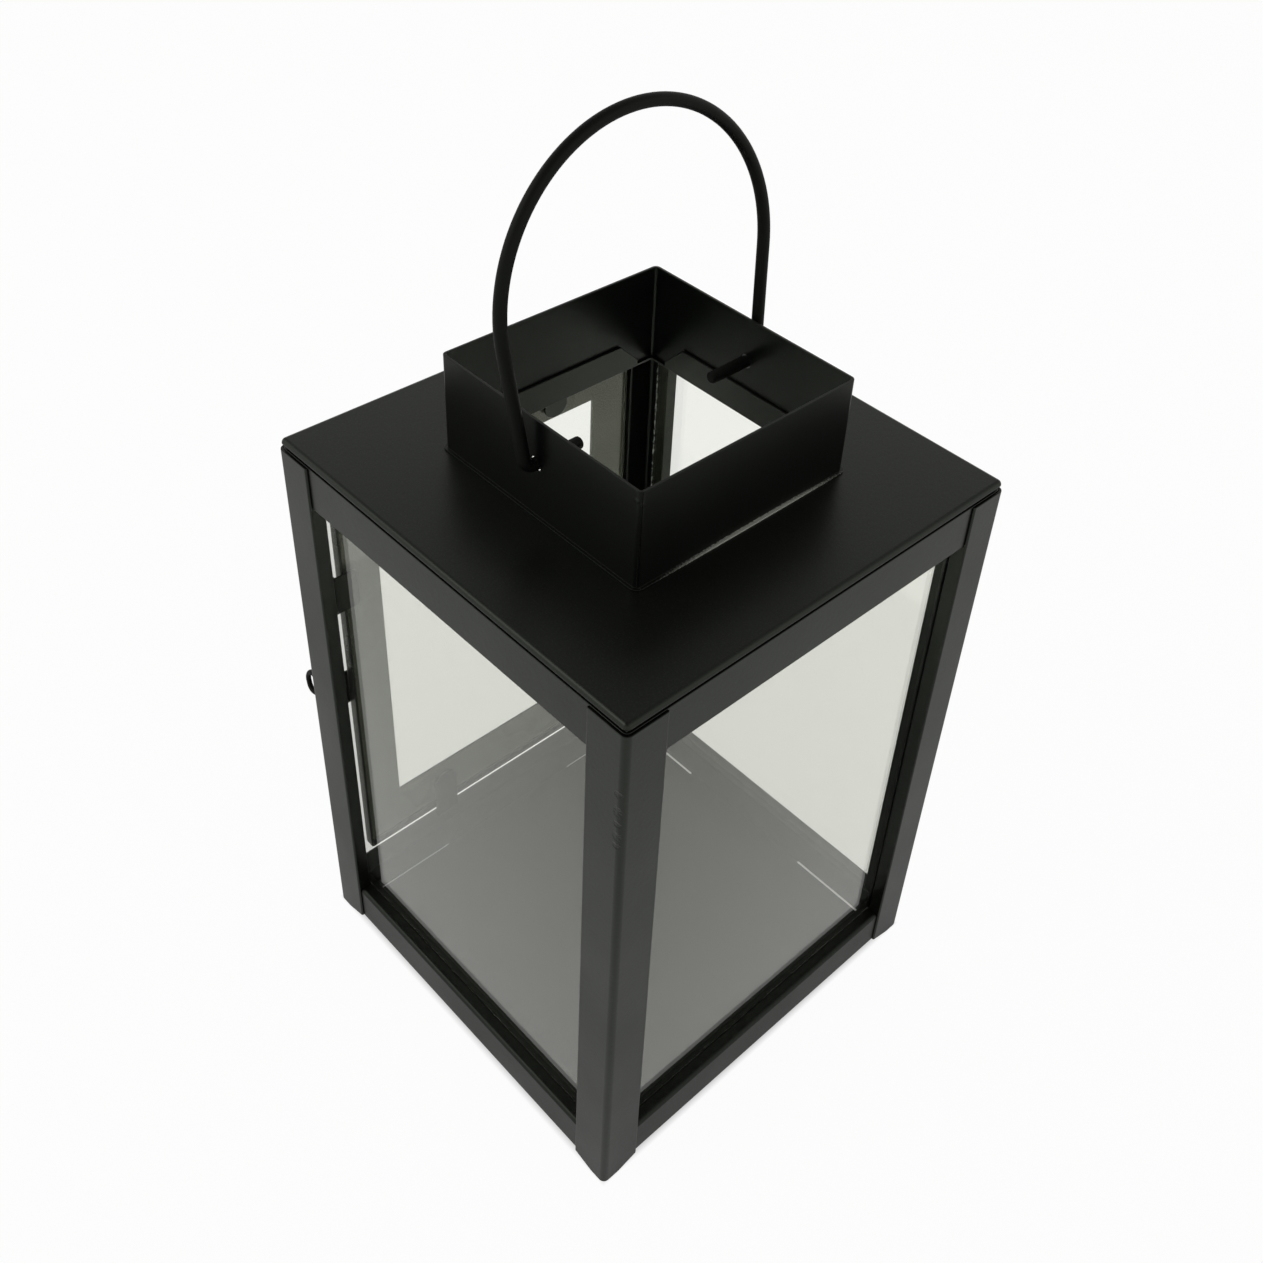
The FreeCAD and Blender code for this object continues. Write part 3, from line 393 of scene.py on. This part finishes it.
# %% Soft edges and finishes for the CAD nodes
MERGE = 0.001
FLAT_ANGLE, SHARP_ANGLE = math.radians(0.5), math.radians(40)
for finish, edge, names in FINISHES:
    for name in names:
        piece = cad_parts[name]
        piece.data.materials.clear()
        piece.data.materials.append(finish)
        piece.data.shade_smooth()
        weld = piece.modifiers.new("join_triangles", "WELD")
        weld.merge_threshold = MERGE * MM
        flat = piece.modifiers.new("join_flat_triangles", "DECIMATE")
        flat.decimate_type = "DISSOLVE"
        flat.angle_limit = FLAT_ANGLE
        bevel = piece.modifiers.new("soft_edge", "BEVEL")
        bevel.width = edge * MM
        bevel.segments = 2
        bevel.limit_method = "ANGLE"
        bevel.angle_limit = SHARP_ANGLE
        bevel.use_clamp_overlap = False
        piece.modifiers.new("flat_faces", "WEIGHTED_NORMAL").keep_sharp = True
    print(finish.name, "on", len(names), "pieces, edges", edge, "mm")

# %% [markdown]
# ## Bending wire
#
# A wire is bent on a bench by pushing it on and turning it round a former. A curve with a round bevel could
# stand for it, but an open ring of edges that is pushed along the straights and spun round the bends follows
# how the wire is really made, and keeps exact arcs. The ends are closed last, and their rims are rounded.

# %% Moves that bend a wire
def run_on(shape, ring, step):
    """Push a wire's open ring straight on by a step and return its new ring."""
    moved = bmesh.ops.extrude_edge_only(shape, edges=ring)["geom"]
    corners = [part for part in moved if isinstance(part, bmesh.types.BMVert)]
    bmesh.ops.translate(shape, verts=corners, vec=step)
    edges = [part for part in moved if isinstance(part, bmesh.types.BMEdge)]
    return [edge for edge in edges if all(corner in corners for corner in edge.verts)]


def bend_on(shape, ring, centre, axis, angle, steps, creep=(0, 0, 0)):
    """Spin a wire's open ring round a bend, creeping sideways at each step, and return its new ring."""
    geometry = list({corner for edge in ring for corner in edge.verts}) + list(ring)
    last = bmesh.ops.spin(
        shape, geom=geometry, cent=centre, axis=axis, dvec=creep, angle=angle, steps=steps)
    return [part for part in last["geom_last"] if isinstance(part, bmesh.types.BMEdge)]


def close_ends(shape, size):
    """Close a wire's two open ends and round their rims."""
    rims = [edge for edge in shape.edges if edge.is_boundary]
    bmesh.ops.holes_fill(shape, edges=rims)
    bmesh.ops.bevel(shape, geom=rims, offset=size * MM, offset_type="OFFSET", segments=3, profile=0.5,
                    affect="EDGES", material=-1)


# %% [markdown]
# ## Handing a new piece over
#
# A new piece has to move with the lantern's joints, as the CAD pieces do, and needs its finish.
# One function does that for every piece: it merges doubles, turns the faces outwards, names the body that the
# piece rides on, and hides the CAD node that the piece stands for.

# %% Turn a shape into a piece of the lantern
def finish_piece(shape, name, material, body, replaced):
    """Turn a bmesh into a smooth piece that rides on a body and stands for its CAD node, if it has one."""
    bmesh.ops.remove_doubles(shape, verts=shape.verts, dist=MERGE * MM)
    bmesh.ops.recalc_face_normals(shape, faces=shape.faces)
    mesh = bpy.data.meshes.new(name)
    shape.to_mesh(mesh)
    shape.free()
    mesh.materials.append(material)
    mesh.shade_smooth()
    piece = bpy.data.objects.new(name, mesh)
    bpy.context.scene.collection.objects.link(piece)
    piece.modifiers.new("flat_faces", "WEIGHTED_NORMAL").keep_sharp = True
    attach(piece, body)
    if replaced:
        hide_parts(*replaced)
    print(name, "faces:", len(mesh.polygons))


# %% [markdown]
# ## The bail
#
# The bail is one length of 3.5 mm steel wire. Its two ends point inwards through the chimney's holes, then
# the wire bends up round a small former, runs straight for a little, and goes over in a large arch that meets
# the straights without a kink. It is made upright and then leaned to one side, as in the photograph. Working
# out the straights from the two bends keeps it smooth when a size changes.

# %% Sizes of the bail in millimetres
WIRE_SIDES, WIRE_RADIUS, WIRE_RIM = 32, 1.75, 0.6
AXIS_HEIGHT = 217.5
TIP = 23.5
BEND_START = 38.7
BEND = 3.0
ARCH = 44.7
RISE = 37.3
LEAN = math.radians(6.9)
BEND_STEPS, ARCH_STEPS = 16, 72
ALONG_X = (1, 0, 0)
reach = math.hypot(BEND_START, RISE - BEND)
flare = math.atan2(RISE - BEND, BEND_START) - math.acos((ARCH - BEND) / reach)
leg = math.sqrt(reach ** 2 - (ARCH - BEND) ** 2)
turn = flare - math.pi / 2
print("straight of the bail:", round(leg, 2), "mm, flared by", round(math.degrees(flare), 2), "degrees")

# %% Bent wire bail
inward = (0, (TIP - BEND_START) * MM, 0)
leg_out = -leg * math.sin(flare) * MM
leg_up = leg * math.cos(flare) * MM
former = (AXIS_HEIGHT + BEND) * MM
arch_centre = (0, 0, (AXIS_HEIGHT + RISE) * MM)
shape = bmesh.new()
bmesh.ops.create_circle(shape, segments=WIRE_SIDES, radius=WIRE_RADIUS * MM)
bmesh.ops.rotate(shape, verts=shape.verts, matrix=Matrix.Rotation(math.pi / 2, 3, "X"))
bmesh.ops.translate(shape, verts=shape.verts, vec=(0, -TIP * MM, AXIS_HEIGHT * MM))
ring = run_on(shape, list(shape.edges), inward)
ring = bend_on(shape, ring, (0, -BEND_START * MM, former), ALONG_X, turn, BEND_STEPS)
ring = run_on(shape, ring, (0, leg_out, leg_up))
ring = bend_on(shape, ring, arch_centre, ALONG_X, -math.pi - 2 * flare, ARCH_STEPS)
ring = run_on(shape, ring, (0, leg_out, -leg_up))
ring = bend_on(shape, ring, (0, BEND_START * MM, former), ALONG_X, turn, BEND_STEPS)
run_on(shape, ring, inward)
close_ends(shape, WIRE_RIM)
leaned = Matrix.Rotation(-LEAN, 3, "Y")
bmesh.ops.rotate(shape, verts=shape.verts, cent=(0, 0, AXIS_HEIGHT * MM), matrix=leaned)
finish_piece(shape, "bail_wire", wire_paint, "bail", ["bail_handle"])

# %% [markdown]
# ## The latch eye
#
# A thin wire stands in the latch post, riveted over inside. Outside it is wound into an eye of one turn,
# whose end passes beside its neck. In line with the slot of the door's strap it lets the door open, and
# turned crosswise it keeps the strap on. It was bent by hand and leans a little, so it shows as an open loop.
# The moves of the bail make it too, with a spin that creeps sideways where the turn passes its own start.

# %% Sizes of the latch eye in millimetres
EYE_X, EYE_Y, EYE_Z = -79.55, -64.75, 96.5
EYE_SIDES, EYE_WIRE, EYE_RIM = 20, 0.84, 0.12
EYE_RADIUS = 3.55
EYE_LEAN = math.radians(-15)
NECK, NECK_STEPS = 1.3, 8
SHANK_END, SHANK_ASIDE = -71.8, 0.4
FIRST_ARC, FIRST_STEPS = math.radians(150), 18
LAST_ARC, LAST_STEPS = math.radians(190), 24
# Outline of the riveted end: place along X and radius
RIVET = (
    (-67.90, 0.70), (-68.02, 1.15), (-68.25, 1.50), (-68.45, 1.60), (-68.70, 1.60), (-68.72, EYE_WIRE))
ALONG_Y = (0, 1, 0)
neck_angle = math.asin(NECK / (NECK + EYE_RADIUS))
neck_x = EYE_X + (NECK + EYE_RADIUS) * math.cos(neck_angle)
neck_centre = (neck_x * MM, EYE_Y * MM, (EYE_Z - NECK) * MM)
eye_centre = (EYE_X * MM, EYE_Y * MM, EYE_Z * MM)
creep = (0, -2 * EYE_WIRE * MM / LAST_STEPS, 0)
print("eye:", 2 * (EYE_RADIUS + EYE_WIRE), "mm across, its neck starts at X", round(neck_x, 2), "mm")

# %% Wound latch eye
shape = bmesh.new()
bmesh.ops.create_circle(shape, segments=EYE_SIDES, radius=RIVET[0][1] * MM)
bmesh.ops.rotate(shape, verts=shape.verts, matrix=Matrix.Rotation(math.pi / 2, 3, "Y"))
bmesh.ops.translate(shape, verts=shape.verts, vec=(RIVET[0][0] * MM, EYE_Y * MM, EYE_Z * MM))
ring = list(shape.edges)
for (start, before), (end, after) in zip(RIVET, RIVET[1:]):
    ring = run_on(shape, ring, ((end - start) * MM, 0, 0))
    rim = list({corner for edge in ring for corner in edge.verts})
    bmesh.ops.scale(shape, verts=rim, vec=(1, after / before, after / before),
                    space=Matrix.Translation((0, -EYE_Y * MM, -EYE_Z * MM)))
ring = run_on(shape, ring, ((SHANK_END - RIVET[-1][0]) * MM, 0, 0))
ring = run_on(shape, ring, ((neck_x - SHANK_END) * MM, SHANK_ASIDE * MM, 0))
ring = bend_on(shape, ring, neck_centre, ALONG_Y, neck_angle - math.pi / 2, NECK_STEPS)
ring = bend_on(shape, ring, eye_centre, ALONG_Y, FIRST_ARC - neck_angle, FIRST_STEPS)
bend_on(shape, ring, eye_centre, ALONG_Y, LAST_ARC, LAST_STEPS, creep)
close_ends(shape, EYE_RIM)
bmesh.ops.rotate(shape, verts=shape.verts, cent=eye_centre, matrix=Matrix.Rotation(EYE_LEAN, 3, "X"))
finish_piece(shape, "latch_eye_wire", wire_paint, "latch", ["latch_eye"])

# %% [markdown]
# ## The cut end of a pane
#
# The glass was scored and snapped, and its ends were left raw. Through the chimney one of these ends shows
# beside the hinge post as a thin bright line, the glints of its chips. A finish on the pane's end wouldn't
# show, because glass mirrors at its own end, so the chips are a thin ragged strip that lies just inside it, and
# the glints are painted into its colour as bright spots.

# %% Chipped glass with painted glints
CHIP_SIZE = 2.2
GLINT_FROM, GLINT_FULL = 0.5, 0.62
chip_glint_paint = new_material("raw_cut_end_of_float_glass_with_painted_glints")
place = add(chip_glint_paint, "TexCoord").outputs["Object"]
grain = add(chip_glint_paint, "TexNoise", {
    "Vector": place, "Scale": per(CHIP_SIZE), "Detail": 2.0, "Roughness": 0.7})
# The bright spots that this noise picks out are painted glints
painted_glint = add(chip_glint_paint, "MapRange", {0: grain.outputs["Fac"], 1: GLINT_FROM, 2: GLINT_FULL, 3: 0.0, 4: 1.0})
tone = add(chip_glint_paint, "Mix", {
    0: painted_glint.outputs[0], 6: linear("#3c3f3b"), 7: linear("#f2f5f0")}, data_type="RGBA")
painted_glint_edge = add(chip_glint_paint, "BsdfPrincipled", {"Base Color": tone.outputs[2], "Roughness": 0.45, "IOR": 1.5})
add(chip_glint_paint, "OutputMaterial", {"Surface": painted_glint_edge.outputs[0]})
print("chips:", chip_glint_paint.name)

# %% Ragged strip along the end of the hinge side pane
END_X, END_Y, END_LOW, END_HIGH = -61.35, 64.9, 16.6, 199.2
ROWS = 140
HALF_WIDTH = 0.55
CHIP_DEPTH = 0.1
shape = bmesh.new()
bmesh.ops.create_grid(shape, x_segments=1, y_segments=ROWS, size=0.5)
for corner in shape.verts:
    row = round((corner.co.y + 0.5) * ROWS)
    # Two waves that don't keep step make the edge look broken
    ragged = 0.25 * math.sin(row * 1.7) + 0.2 * math.sin(row * 4.3)
    aside = math.copysign(HALF_WIDTH + ragged, corner.co.x)
    level = END_LOW + (END_HIGH - END_LOW) * row / ROWS
    corner.co = (END_X * MM, (END_Y + aside) * MM, level * MM)
grown = bmesh.ops.extrude_face_region(shape, geom=list(shape.faces))["geom"]
front = [part for part in grown if isinstance(part, bmesh.types.BMVert)]
bmesh.ops.translate(shape, verts=front, vec=(CHIP_DEPTH * MM, 0, 0))
# The strip's ragged shape stands for the chips, and its bright spots are painted glints
finish_piece(shape, "pane_end_chips_with_painted_glints", chip_glint_paint, "frame", [])
